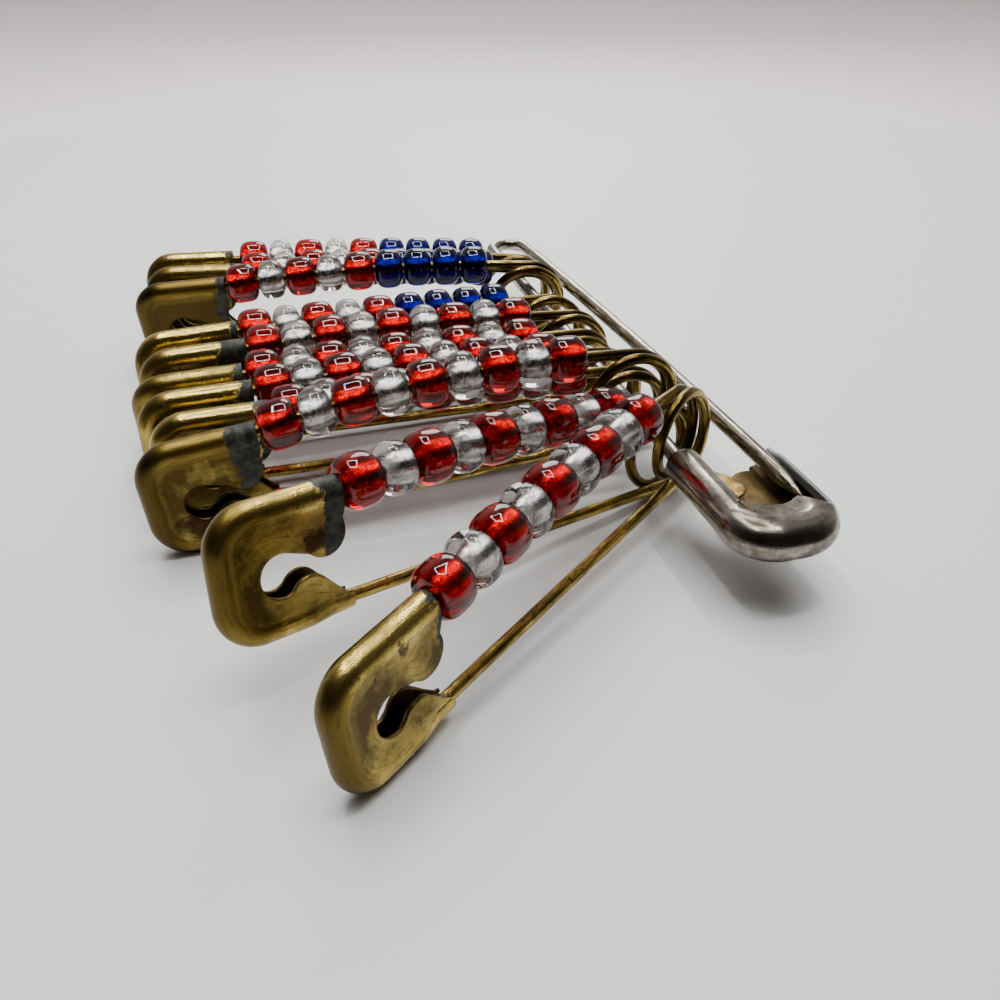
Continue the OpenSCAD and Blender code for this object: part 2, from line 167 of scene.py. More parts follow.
# %% Grid surfaces
def grid_piece(name, grids, wrap, uv, marks=None, lids=False):
    """Mesh from one grid (along, round, xyz) in mm or a stack of them; each cell is one face.

    wrap joins the last column to the first, where uv has one column more, and lids close
    both ends with one flat face. marks are named numbers, one a point.
    """
    if grids.ndim == 3:
        grids, uv = grids[None], uv[None]
    count, rows, cols, _ = grids.shape
    ids = np.arange(count * rows * cols).reshape(count, rows, cols)
    here = ids if wrap else ids[:, :, :-1]
    there = np.roll(ids, -1, axis=2) if wrap else ids[:, :, 1:]
    quads = np.stack([here[:, :-1], there[:, :-1], there[:, 1:], here[:, 1:]], -1).reshape(-1, 4)
    corner_uv = np.stack([uv[:, :-1, :-1], uv[:, :-1, 1:], uv[:, 1:, 1:], uv[:, 1:, :-1]], -2)
    corner_uv = corner_uv.reshape(-1, 2)
    corners, sizes = quads.ravel(), np.full(len(quads), 4)
    if lids:
        ends = np.concatenate([ids[:, 0, ::-1], ids[:, -1]])
        corners = np.concatenate([corners, ends.ravel()])
        sizes = np.concatenate([sizes, np.full(len(ends), cols)])
        corner_uv = np.concatenate([corner_uv, np.zeros((ends.size, 2))])
    mesh = bpy.data.meshes.new(name)
    mesh.vertices.add(count * rows * cols)
    mesh.vertices.foreach_set("co", (grids.reshape(-1, 3) * MM).ravel())
    mesh.loops.add(len(corners))
    mesh.loops.foreach_set("vertex_index", corners.astype(np.int32))
    mesh.polygons.add(len(sizes))
    mesh.polygons.foreach_set("loop_start", (np.cumsum(sizes) - sizes).astype(np.int32))
    mesh.polygons.foreach_set("loop_total", sizes.astype(np.int32))
    mesh.polygons.foreach_set("use_smooth", np.ones(len(sizes), dtype=bool))
    layer = mesh.uv_layers.new(name="UVMap")
    layer.data.foreach_set("uv", corner_uv.astype(np.float32).ravel())
    for mark, values in (marks or {}).items():
        layer = mesh.attributes.new(mark, "FLOAT", "POINT")
        layer.data.foreach_set("value", values.astype(np.float32).ravel())
    mesh.update()
    mesh.validate()
    piece = bpy.data.objects.new(name, mesh)
    bpy.context.scene.collection.objects.link(piece)
    return piece


# %% [markdown]
# ## Tubes
# Wire is a circle carried along a path. The circle starts upright at each point, so it
# never twists, and its radius may change.

# %% Circles along a path
UPWARDS = np.array([0.0, 0.0, 1.0])


def unit(v):
    """Vectors scaled to length one."""
    return v / np.linalg.norm(v, axis=-1, keepdims=True)


def tube(path, radius, sides):
    """Grid of circles along a path: the path plus radius times (side cos a + other sin a)."""
    along = unit(np.gradient(path, axis=0))
    side = unit(UPWARDS - (along @ UPWARDS)[:, None] * along)
    other = np.cross(along, side)
    a = np.arange(sides) / sides * 2 * np.pi
    r = np.broadcast_to(radius, len(path))[:, None, None]
    ring = side[:, None] * np.cos(a)[None, :, None] + other[:, None] * np.sin(a)[None, :, None]
    return path[:, None] + r * ring


def run_length(path):
    """Length along a path at each of its points."""
    steps = np.linalg.norm(np.diff(path, axis=0), axis=1)
    return np.concatenate([[0.0], np.cumsum(steps)])


def tube_uv(path, sides):
    """UV of a tube: turns round it, and millimetres along it."""
    return np.stack(np.meshgrid(np.arange(sides + 1) / sides, run_length(path)), -1)


# %% [markdown]
# ## How a small pin lies
# Each small pin is drawn flat, with its coil's centre at the origin, and is then turned:
# first it leans, then its cap dips until it touches the ground, then it fans round the
# large pin's leg. These are the same turns that place the solids.

# %% Pose of a small pin
def turn(axis, degrees):
    """Rotation matrix about x, y or z (0, 1, 2)."""
    c, s = math.cos(math.radians(degrees)), math.sin(math.radians(degrees))
    i, j = [(1, 2), (2, 0), (0, 1)][axis]
    m = np.eye(3)
    m[i, i], m[j, j], m[i, j], m[j, i] = c, c, -s, s
    return m


def pose(i):
    """Rotation and place of small pin i, from its row of the table."""
    lean = math.radians(LIE[i, LEAN])
    lean_c, lean_s = math.cos(lean), abs(math.sin(lean))
    z = COIL * lean_c + turn_z * lean_s + wire_r + GROUND_GAP + LIE[i, LIFT] * COIL
    fall = LIE[i, CAP_UP] * CAP_H + ridge_r - leg_y * lean_c - z
    pitch = math.degrees(math.asin(fall / (back_x - CORNER)))
    matrix = turn(2, 270 + LIE[i, FAN]) @ turn(1, -pitch) @ turn(0, 90 + LIE[i, LEAN])
    return matrix, np.array([coil_x[i], LIE[i, SHIFT] * COIL, z])


def laid(i, points):
    """Points of small pin i, moved from its own plane to where it lies."""
    matrix, place = pose(i)
    return points @ matrix.T + place - MIDDLE


print("coil of the nearest pin, mm:", pose(PINS - 1)[1].round(2))

# %% [markdown]
# ## Wire of a small pin
# A real pin is one drawn wire: a straight leg, one and a half turns of coil, and an arm
# that bows a little and ends in a ground point. The coil's two turns lie side by side,
# so the wire drifts sideways as it crosses from one to the other.

# %% Path of the wire
def arm_arc(i):
    """Start, first direction, inward direction, radius and length of the arm's one large arc."""
    up = math.radians(LIE[i, ARM_UP])
    start = np.array([-COIL * math.sin(up), COIL * math.cos(up), turn_z])
    chord = np.array([mouth_x + ARM_IN / 2, arm_y, 0.0]) - start
    ahead = np.array([math.cos(up), math.sin(up), 0.0])
    aside = np.array([-math.sin(up), math.cos(up), 0.0])
    off = np.array([chord @ aside, chord[2]])
    radius = (chord @ chord) / (2 * np.linalg.norm(off))
    inward = (aside * off[0] + UPWARDS * off[1]) / np.linalg.norm(off)
    reach = 2 * math.atan2(np.linalg.norm(off), chord @ ahead) * radius
    return start, ahead, inward, radius, reach


def on_arm(i, length):
    """Points and directions of the arm at lengths from the coil, on a circle of its plane."""
    start, ahead, inward, radius, _ = arm_arc(i)
    t = np.asarray(length)[:, None] / radius
    place = start + radius * (np.sin(t) * ahead + (1 - np.cos(t)) * inward)
    return place, np.cos(t) * ahead + np.sin(t) * inward


def wire_path(i):
    """Leg, coil and arm of small pin i as one list of points, with the wire's radius at each."""
    leg_x = mouth_x + LEG_IN / 2
    far = math.hypot(leg_x, leg_y)
    slope = math.acos(-COIL / far) - math.atan2(leg_x, leg_y)
    start = np.array([mouth_x + LEG_IN, leg_y + LEG_IN / 2 * math.tan(slope), 0.0])
    meet = np.array([COIL * math.sin(slope), -COIL * math.cos(slope), -turn_z])
    leg = start + (meet - start) * np.linspace(0, 1, 40)[:, None]
    a = np.linspace(-90 + math.degrees(slope) + 360, -270 + LIE[i, ARM_UP], 110)[1:]
    drift = -turn_z * np.sin(np.radians(np.clip(a, -90, 90)))
    coil = np.stack([COIL * np.cos(np.radians(a)), COIL * np.sin(np.radians(a)), drift], -1)
    reach = arm_arc(i)[4] + ARM_IN / 2
    taper = np.linspace(0.1, 1, 10)
    arm, _ = on_arm(i, np.concatenate([np.linspace(0, reach, 50)[1:], reach + POINT * taper]))
    path = np.concatenate([leg, coil, arm])
    radius = np.full(len(path), wire_r)
    radius[-len(taper):] = wire_r * (1 - (1 - BLUNT) * taper)
    return path, radius


print("wire of the nearest pin:", round(float(run_length(wire_path(PINS - 1)[0])[-1]), 1), "mm")

# %% [markdown]
# ## Folded caps
# A cap is stamped from thin sheet and folded along its back, so its edge is a rolled
# ridge and its two plates face each other. Both the ridge and the free edge are lines in
# the plane of the pin: straight runs and arcs, resampled at even distances.

# %% Outlines of the caps
def arc(centre, radius, a, b, n):
    """Points on a circle from angle a to b: the centre plus radius times (cos, sin)."""
    t = np.radians(np.linspace(a, b, n))
    return np.array(centre) + radius * np.stack([np.cos(t), np.sin(t)], -1)


def even(points, n=600):
    """A line of points resampled to n points at even distances."""
    s = run_length(points)
    t = np.linspace(0, s[-1], n)
    return np.stack([np.interp(t, s, points[:, k]) for k in range(points.shape[1])], -1)


def c_line(length, height, r, corner):
    """Ridge of a cap, from the arm's mouth round to the leg's; x runs back from the closed end."""
    return even(np.concatenate([
        [[length, height - r]],
        arc((r + corner, height - r - corner), corner, 90, 180, 24),
        arc((r + corner, r + corner), corner, 180, 270, 24),
        [[length, r]]]))


def stations(line, shares):
    """Points of a line at shares of its length."""
    s = run_length(line) / run_length(line)[-1]
    return np.stack([np.interp(shares, s, line[:, k]) for k in range(line.shape[1])], -1)


def eased(at, rows):
    """Values at shares of a line from rows (share, value): t t (3 - 2 t) from row to row."""
    share, value = np.array(rows, dtype=float).T
    k = np.clip(np.searchsorted(share, at, side="right") - 1, 0, len(share) - 2)
    t = np.clip((at - share[k]) / (share[k + 1] - share[k]), 0, 1)
    t = t * t * (3 - 2 * t)
    return value[k] * (1 - t) + value[k + 1] * t


# %% [markdown]
# ## Folding the sheet
# The grid of a cap runs along the C of its ridge and across it, from one plate's free
# edge over the ridge to the other's. A real stamped cap is never quite flat, so a few
# crossed waves dent it a little.

# %% Folding the sheet
EASE = 0.3  # mm over which a plate comes to its level
DIP_AT, DIP_WIDE = 0.2, 0.1  # mm from the roll to the groove beside it, and its half width


def outward(ridge):
    """Directions in the plane that are square to a ridge and point away from the plates."""
    ahead = unit(np.gradient(ridge, axis=0))
    return np.stack([ahead[:, 1], -ahead[:, 0]], -1)


def folded(ridge, edges, radius, rolls, levels, groove=0.012, across=15, wide=1.0):
    """Middle surface of folded sheet: plate, rolled ridge, plate, from the upper edge to the lower.

    ridge is the ridge's centre line in the plane, edges the free edges of the two plates,
    radius the roll's radius, rolls the angles at which the roll meets each plate, and
    levels the heights of the plates. A plate leaves the roll, dips in a narrow groove and
    comes to its level. wide spreads the upper half of the roll inwards, to an ellipse. Also
    gives each point's distance from the roll, negative on it.
    """
    out = outward(ridge)
    radius = np.broadcast_to(radius, len(ridge))
    sides = []
    for side, edge, roll, level in zip((1, -1), edges, rolls, levels):
        a = np.radians(np.broadcast_to(roll, len(ridge)))
        t = np.linspace(0, 1, across)
        bend = a[:, None] * t
        spread = np.broadcast_to(wide if side > 0 else 1.0, len(ridge))[:, None]
        away = radius[:, None] * (1 - spread * (1 - np.cos(bend)))
        xy = ridge[:, None] + out[:, None] * away[..., None]
        z = radius[:, None] * np.sin(bend)
        w = np.linspace(0, 1, across + 3)[1:] ** 1.5
        start = xy[:, -1]
        flat = start[:, None] + (edge - start)[:, None] * w[None, :, None]
        gone = np.linalg.norm(flat - start[:, None], axis=-1)
        top = radius * np.sin(a)
        level = np.broadcast_to(level, len(ridge))
        rise = level[:, None] + (top - level)[:, None] * np.exp(-gone / EASE)
        dip = groove * np.clip(gone[:, -1:] * 4, 0, 1) * np.exp(-((gone - DIP_AT) / DIP_WIDE) ** 2)
        height = np.concatenate([z, rise - dip], 1)[..., None] * side
        whole = np.concatenate([np.concatenate([xy, flat], 1), height], -1)
        sides.append((whole, np.concatenate([np.broadcast_to(t - 1, z.shape), gone], 1)))
    (upper, upper_reach), (lower, lower_reach) = sides
    grid = np.concatenate([upper[:, ::-1], lower[:, 1:]], 1)
    return grid, np.concatenate([upper_reach[:, ::-1], lower_reach[:, 1:]], 1)


def sheet_uv(grid):
    """UV of folded sheet in mm: distance across it and along its middle."""
    across = run_length(grid[len(grid) // 2])
    along = run_length(grid[:, grid.shape[1] // 2])
    return np.stack(np.meshgrid(across, along), -1)


def ripple(points, size, seed):
    """Smooth uneven number at each point: a few crossed waves whose directions follow the seed."""
    rng = np.random.default_rng(seed)
    total = 0
    for k in range(5):
        direction = rng.normal(size=3)
        total = total + np.sin(points @ direction / size * (1 + k * 0.6) + rng.uniform(0, 6.3)) / (1 + k)
    return total / 2.3


# %% [markdown]
# ## Small caps
# The free edge has the real pin's lip, notch, lobe and slope, in shares of the cap's
# length and height. Rows of two shares say which point of the edge faces which point of
# the ridge, and the roll tightens round the leg's wire. Each cap has its own dents and
# carries marks for its finish: the way from the roll, the nearness to the hood's mouth,
# how dull it is together with a painted shade on its closed end, and where it is stained.

# %% Small caps
TIGHTEN = [0, 0.86, 0.93, 1]  # shares of the ridge between which the roll tightens
EDGE_SHARES = np.array([
    (0.0, 0.0), (0.10, 0.22), (0.235, 0.40), (0.30, 0.46), (0.42, 0.50),
    (0.58, 0.60), (0.70, 0.66), (0.765, 0.70), (0.87, 0.84), (1.0, 1.0)])


def small_edge():
    """Free edge of a small cap's plate: lip, notch, lobe and slope, from arm's mouth to leg's."""
    return even(np.concatenate([
        [[CAP_L, CAP_H * 0.8]],
        arc((0.82 * CAP_L, 0.65 * CAP_H), 0.165 * CAP_L, 25, -140, 24),
        arc((0.475 * CAP_L, 0.46 * CAP_H), 0.158 * CAP_L, 75, 280, 28),
        arc((0.675 * CAP_L, 0.26 * CAP_H), 0.145 * CAP_L, 150, 35, 20),
        [[0.9 * CAP_L, 0.23 * CAP_H], [CAP_L, 0.14 * CAP_H]]]))


along_cap = np.linspace(0, 1, 132)
cap_ridge = stations(c_line(CAP_L, CAP_H, ridge_r, CORNER), along_cap)
cap_edge = stations(small_edge(), np.interp(along_cap, EDGE_SHARES[:, 0], EDGE_SHARES[:, 1]))


def small_cap(i):
    """Folded sheet of small cap i with its unevenness, its UV and the marks its finish needs."""
    radius = (ridge_r - SHEET / 2) * np.interp(along_cap, TIGHTEN, [1, 1, 0.78, 0.74])
    level = np.minimum(ridge_r - DROP - SHEET / 2, radius * 0.93)
    roll = np.interp(along_cap, TIGHTEN, [97, 97, 126, 128])
    grid, reach = folded(cap_ridge, (cap_edge, cap_edge), radius, (roll, roll), (level, level))
    x, y = grid[..., 0], grid[..., 1]
    hood = x / CAP_L * (y > CAP_H * 0.42) + TARNISH[i]
    spot_x, spot_y, size = SPOTS.get(i, (0, 0, 1e-3))
    spot = np.exp(-((x - spot_x) ** 2 + (y - spot_y) ** 2) / size ** 2)
    # Painted shade: the closed end, at small x, is made darker, most of all on and near the roll. The cap's
    # own number from the list above adds its dullness.
    darkening = AGE_AND_SHEEN[i] + np.exp(-(x / 1.4) ** 2) * np.where(reach < 0.2, 0.95, 0.6)
    inward = np.clip(reach, 0, None) * np.sign(grid[..., 2])
    local = grid * [-1, 1, 1] + [cap_end, CAP_RISE - CAP_H, 0]
    local[..., 2] -= 0.012 * inward * (1 + 0.6 * ripple(local * [1, 1, 0], 1.3, 80 + i))
    dent = 0.014 * np.abs(ripple(local, 0.9, 40 + i))
    local[..., 2] -= dent * np.sign(local[..., 2])
    marks = {"reach": reach, "hood": hood, "age_and_shade": darkening / 1.5, "spot": spot}
    return local[:, ::-1], sheet_uv(grid)[:, ::-1], {k: v[:, ::-1] for k, v in marks.items()}


print("ridge of a small cap:", round(float(run_length(cap_ridge)[-1]), 1), "mm")

# %% [markdown]
# ## Beads
# A seed bead is cut from drawn glass tube and tumbled hot, so it is a fat ring with
# round shoulders. The hole is lined with silver, and the bead's colour is what the light
# picks up on its way through the glass, to the lining and back.

# %% Rings of glass
BOXY = {"red": 0.68, "clear": 0.82, "blue": 0.74}  # power of the half section, less is boxier


def bead_profile(length, power, n=22):
    """Half section of a bead: r = bore + wall (sin t)^power, x = -half length (cos t)^power."""
    t = np.linspace(0, np.pi, n)
    half = length / 2
    r = BORE + (BEAD_D / 2 - BORE) * np.abs(np.sin(t)) ** power
    x = -half * np.sign(np.cos(t)) * np.abs(np.cos(t)) ** power
    return np.stack([r, x], -1)


def bead_order(i):
    """Colour, length and place on the arm of each bead of pin i: red and clear by turns, blue last."""
    blues = int(LIE[i, BLUES])
    kinds = ["blue" if k >= BEADS - blues else "red" if k % 2 == 0 else "clear" for k in range(BEADS)]
    lengths = np.array([BEAD_L[k] for k in kinds])
    centre = BEAD_GAP + LIE[i, SLIP] * BEAD_D + np.cumsum(lengths + BEAD_GAP) - BEAD_GAP - lengths / 2
    return kinds, lengths, arm_arc(i)[4] - centre - ARM_IN / 2


def bead_rings(i, kind, sides=30):
    """Glass and lining of all beads of one colour on pin i, as two stacks of grids."""
    kinds, lengths, places = bead_order(i)
    chosen = [k for k in range(BEADS) if kinds[k] == kind]
    rng = np.random.default_rng(100 + i * 7 + len(kind))
    glass, lining = [], []
    centre, ahead = on_arm(i, places[chosen])
    for k, c, a in zip(chosen, centre, ahead):
        up = unit(np.array([0.0, 1.0, 0.0]) - a[1] * a)
        side = np.cross(a, up)
        angle = np.arange(sides) / sides * 2 * np.pi
        ring = up * np.cos(angle)[:, None] + side * np.sin(angle)[:, None]
        length = lengths[k] * rng.uniform(0.98, 1.04)
        profile = bead_profile(length, BOXY[kind])
        profile[:, 0] = BORE + (profile[:, 0] - BORE) * rng.uniform(0.95, 0.995)
        tilt = rng.normal(0, 0.012, 2) @ [np.cos(angle), np.sin(angle)]
        reach, across = profile[:, 0, None, None], profile[:, 1, None, None]
        grid = c + a * (across + reach * tilt[:, None]) + reach * ring
        glass.append(np.concatenate([grid, grid[:1]], 0))
        t = np.linspace(-0.47, 0.47, 8)
        crumple = LINING_R + 0.006 * np.sin(angle * 5 + k)[None, :] * np.cos(t * 14 + k)[:, None]
        lining.append(c + a * (t * length)[:, None, None] + crumple[..., None] * ring[None])
    return np.array(glass), np.array(lining)


print("farthest pin:", *bead_order(0)[0])

# %% [markdown]
# ## Finishes
# Brass sheet, drawn brass wire, nickel plate, coloured glass and silver lining. Each is
# built from noise that follows the piece: stretched along the length for the lines that
# drawing and brushing leave, and round for tarnish. Helpers keep the node trees short.

# %% Node helpers
def tree_tools(owner, last):
    """Function that adds a linked node to the owner's tree, and one that sets its last node."""
    owner.use_nodes = True
    nodes, links = owner.node_tree.nodes, owner.node_tree.links
    last_inputs = nodes[last].inputs

    def plug(socket, value):
        if isinstance(value, bpy.types.NodeSocket):
            links.new(value, socket)
        else:
            socket.default_value = value

    def add(kind, inputs=None, **settings):
        node = nodes.new(kind)
        for key, value in settings.items():
            setattr(node, key, value)
        for key, value in (inputs or {}).items():
            plug(node.inputs[key], value)
        return node

    def set_(socket, value):
        plug(last_inputs[socket], value)

    return add, set_


def material(name):
    """New material, with the two functions that build it."""
    mat = bpy.data.materials.new(name)
    return mat, *tree_tools(mat, "Principled BSDF")


def grey(value):
    """Grey of a value."""
    return (value, value, value)


def ramp(add, value, stops):
    """Colour ramp from (position, colour) stops; a single number makes a grey."""
    node = add("ShaderNodeValToRGB", {"Fac": value})
    while len(node.color_ramp.elements) < len(stops):
        node.color_ramp.elements.new(0.5)
    for element, (at, colour) in zip(node.color_ramp.elements, stops):
        element.position = at
        element.color = (*(colour if isinstance(colour, tuple) else grey(colour)), 1)
    return node.outputs["Color"]


def mix(add, share, a, b):
    """Mixes two colours: a (1 - share) + b share."""
    a, b = ((*colour, 1) if isinstance(colour, tuple) else colour for colour in (a, b))
    return add("ShaderNodeMix", {0: share, 6: a, 7: b}, data_type="RGBA").outputs[2]


def space(add, name):
    """Texture coordinates of a name."""
    return add("ShaderNodeTexCoord").outputs[name]


def mark(add, name):
    """Number that a point of the mesh carries under a name."""
    return add("ShaderNodeAttribute", attribute_name=name).outputs["Fac"]


def noise(add, vector, scale, detail, rough, stretch=None):
    """Noise of a scale, in a space that may be stretched."""
    if stretch:
        vector = add("ShaderNodeMapping", {"Vector": vector, "Scale": stretch}).outputs[0]
    inputs = {"Vector": vector, "Scale": scale, "Detail": detail, "Roughness": rough}
    return add("ShaderNodeTexNoise", inputs).outputs[0]


def maths(add, kind, a, b=0.0):
    """One arithmetic step."""
    return add("ShaderNodeMath", {0: a, 1: b}, operation=kind).outputs[0]


def weighted(add, *parts):
    """Sum of (value, weight) parts."""
    total = None
    for value, weight in parts:
        part = maths(add, "MULTIPLY", value, weight)
        total = part if total is None else maths(add, "ADD", total, part)
    return total


def bump(add, height, strength, distance):
    """Normal tilted by a height."""
    inputs = {"Height": height, "Strength": strength, "Distance": distance}
    return add("ShaderNodeBump", inputs).outputs[0]


def darker(colour, share):
    """A share of a colour."""
    return tuple(c * share for c in colour)


# %% [markdown]
# ## Drawn wire
# The die leaves long fine lines along a wire, and years leave dark specks. The coil of a
# small pin carries a painted shade, darker than its leg and arm, and a mark says so.

# %% Drawn wire
SPECK = (0.05, 0.035, 0.02)


def wire_finish(name, bright, dark, rough):
    """Drawn wire: lines along its UV, small dark specks, a slow change of tone and a painted shade on the
    coil.
    """
    mat, add, set_ = material(name)
    place = space(add, "Object")
    lines = noise(add, space(add, "UV"), 1.0, 5, 0.7, stretch=(26, 0.5, 1))
    specks = noise(add, place, 2600, 3, 0.6)
    tone = noise(add, place, 260, 3, 0.6)
    # Painted shade: the wire's mark lowers the tone, so the coil of a small pin is darker.
    tone = maths(add, "SUBTRACT", tone, maths(add, "MULTIPLY", mark(add, "darkening"), 0.3))
    colour = ramp(add, tone, [(0.3, dark), (0.5, bright)])
    colour = mix(add, ramp(add, lines, [(0.42, 0.0), (0.56, 1.0)]), darker(dark, 0.55), colour)
    colour = mix(add, ramp(add, specks, [(0.6, 0.0), (0.68, 0.85)]), colour, SPECK)
    set_("Base Color", colour)
    set_("Metallic", 1.0)
    set_("Roughness", ramp(add, lines, [(0.3, rough + 0.14), (0.7, rough)]))
    set_("Normal", bump(add, weighted(add, (lines, 0.7), (specks, 0.3)), 0.35, 0.00003))
    return mat


brass_wire = wire_finish("brass_wire", (0.66, 0.47, 0.12), (0.15, 0.095, 0.022), 0.17)
nickel_wire = wire_finish("nickel_wire", (0.56, 0.53, 0.47), (0.20, 0.175, 0.13), 0.2)
arm_nickel = wire_finish("arm_nickel", (0.58, 0.53, 0.43), (0.20, 0.165, 0.10), 0.18)
print("wires:", brass_wire.name, nickel_wire.name, arm_nickel.name)

# %% [markdown]
# ## Folded brass
# Handled brass stays bright on the ridge, which fingers rub, and goes brown on the plates.
# A painted shade darkens the seam beside the roll and each cap's closed end, and caps that
# catch the light get a painted sheen. At the hood's mouth it has turned grey-green, with a
# ragged border. Layers of colour are laid over each other, each with its own mask.

# %% Folded brass
STAIN = (0.045, 0.02, 0.012)
GREEN_DARK, GREEN_PALE = (0.009, 0.010, 0.008), (0.058, 0.062, 0.050)
SEAM_AT = 0.14  # mm from the roll to the middle of the seam's painted shade


def sheet_finish(name, bright, mid, deep):
    """Aged brass sheet: brushed ridge, duller plates, stains, painted shade in the seam and at the closed
    end, and tarnish at the hood's mouth.
    """
    mat, add, set_ = material(name)
    place = space(add, "Object")
    reach, hood, age_and_shade, spot = (mark(add, mark_name) for mark_name in ("reach", "hood", "age_and_shade", "spot"))
    lines = noise(add, space(add, "UV"), 1.0, 5, 0.7, stretch=(9, 0.7, 1))
    cloud = noise(add, place, 420, 5, 0.65)
    fine = noise(add, place, 2400, 4, 0.7)
    # Besides wear and dullness, this carries the painted shade at each cap's closed end and the painted
    # sheen of the caps that catch the light.
    wear_and_light = weighted(add, (cloud, 1.0), (maths(add, "SUBTRACT", 0.3, age_and_shade), 0.48))
    ridge = mix(add, ramp(add, wear_and_light, [(0.36, 0.0), (0.62, 1.0)]), mid, bright)
    ridge = mix(add, ramp(add, age_and_shade, [(0.75, 0.0), (1.0, 0.85)]), ridge, deep)
    plates = mix(add, ramp(add, wear_and_light, [(0.33, 0.0), (0.66, 1.0)]), deep, mix(add, 0.5, mid, bright))
    plate = ramp(add, reach, [(0.0, 0.0), (0.5, 0.9)])
    colour = mix(add, plate, ridge, plates)
    colour = mix(add, ramp(add, lines, [(0.36, 0.6), (0.48, 0.0)]), colour, deep)
    # Painted shade in the seam beside the roll.
    from_seam = maths(add, "ABSOLUTE", maths(add, "SUBTRACT", reach, SEAM_AT))
    seam = ramp(add, from_seam, [(0.02, 0.55), (0.2, 0.0)])
    seam = maths(add, "MULTIPLY", seam, ramp(add, cloud, [(0.42, 1.0), (0.58, 0.1)]))
    colour = mix(add, seam, colour, deep)
    stain = weighted(add, (noise(add, place, 900, 4, 0.7), 1.0), (spot, 0.3))
    stain = ramp(add, stain, [(0.63, 0.0), (0.72, 0.85)])
    colour = mix(add, stain, colour, STAIN)
    ragged = maths(add, "SUBTRACT", noise(add, place, 800, 6, 0.75), 0.5)
    green = ramp(add, weighted(add, (hood, 1.0), (ragged, 0.42)), [(0.985, 0.0), (1.0, 1.0)])
    patch = ramp(add, noise(add, place, 1700, 4, 0.7), [(0.4, 0.0), (0.62, 1.0)])
    colour = mix(add, green, colour, mix(add, patch, GREEN_DARK, GREEN_PALE))
    set_("Base Color", colour)
    set_("Metallic", mix(add, green, grey(1), grey(0.45)))
    rough = mix(add, plate, grey(0.2), grey(0.32))
    rough = mix(add, ramp(add, wear_and_light, [(0.34, 0.7), (0.6, 0.0)]), rough, grey(0.46))
    set_("Roughness", mix(add, maths(add, "MAXIMUM", green, stain), rough, grey(0.55)))
    height = weighted(add, (cloud, 1.1), (fine, 0.2), (lines, 0.4), (green, 0.5))
    set_("Normal", bump(add, height, 0.55, 0.00006))
    return mat


brass_sheet = sheet_finish("brass_sheet", (0.76, 0.57, 0.15), (0.24, 0.165, 0.036), (0.055, 0.036, 0.01))
print("sheet:", brass_sheet.name)

# %% [markdown]
# ## Plainer sheet
# The insides of the caps, the tongue and the nickel of the large cap need no tarnish
# marks: two tones, brush lines and pits are enough. The raised flap of the large cap is
# grey inside, and the lower part of its nose is freckled where the plating has worn.

# %% Plainer sheet
def plain_sheet(name, bright, deep, rough, lines_at, flap=None, mottle=0.0):
    """Sheet without tarnish marks: two tones in cloudy patches, brush lines and fine pits.

    flap is a second colour for the points that carry the mark of that name, and mottle
    is how much of the sheet has dull dark freckles.
    """
    mat, add, set_ = material(name)
    place = space(add, "Object")
    lines = noise(add, space(add, "UV"), 1.0, 5, 0.7, stretch=lines_at)
    cloud = noise(add, place, 520, 5, 0.7)
    fine = noise(add, place, 2600, 4, 0.7)
    colour = mix(add, ramp(add, cloud, [(0.36, 0.0), (0.62, 1.0)]), deep, bright)
    colour = mix(add, ramp(add, lines, [(0.36, 0.6), (0.5, 0.0)]), colour, deep)
    metallic = 1.0
    if flap:
        on_flap = mark(add, "flap")
        colour = mix(add, on_flap, colour, flap)
        rough = maths(add, "ADD", rough, maths(add, "MULTIPLY", on_flap, 0.2))
        metallic = maths(add, "SUBTRACT", 1.0, maths(add, "MULTIPLY", on_flap, 0.6))
    pits = ramp(add, fine, [(0.62, 0.0), (0.72, 0.7)])
    freckles = ramp(add, noise(add, place, 1100, 6, 0.85), [(0.42, 0.0), (0.52, 1.0)])
    freckles = maths(add, "MULTIPLY", maths(add, "MULTIPLY", freckles, mottle), mark(add, "mottle"))
    colour = mix(add, maths(add, "MAXIMUM", pits, freckles), colour, darker(deep, 0.3))
    set_("Base Color", colour)
    set_("Metallic", metallic)
    smooth = weighted(add, (lines, 0.5), (cloud, 0.5))
    uneven = maths(add, "MULTIPLY", freckles, 0.2)
    uneven = maths(add, "ADD", ramp(add, smooth, [(0.35, 0.16), (0.65, 0.0)]), uneven)
    set_("Roughness", maths(add, "ADD", uneven, rough))
    set_("Normal", bump(add, weighted(add, (lines, 0.6), (fine, 0.3)), 0.35, 0.00004))
    return mat


brass_inside = plain_sheet("brass_inside", (0.26, 0.17, 0.06), (0.08, 0.05, 0.018), 0.34, (7, 0.6, 1))
flap_inside = plain_sheet(
    "flap_inside", (0.22, 0.145, 0.05), (0.06, 0.038, 0.014), 0.34, (7, 0.6, 1), flap=(0.50, 0.53, 0.57))
brass_tongue = plain_sheet("brass_tongue", (0.56, 0.37, 0.11), (0.13, 0.075, 0.02), 0.26, (11, 0.4, 1))
nickel_sheet = plain_sheet(
    "nickel_sheet", (0.50, 0.455, 0.39), (0.13, 0.108, 0.082), 0.13, (5, 0.3, 1), mottle=1.0)
print("materials so far:", len(bpy.data.materials))

# %% [markdown]
# ## Glass and lining
# The glass is clear and deep in colour, with a skin that the fire has left faintly
# uneven. The lining is metal in the colour that comes back through the glass, crinkled
# and pitted, which gives the beads their broken sparkle.

# %% Glass and lining
GLASS_IOR = 1.51


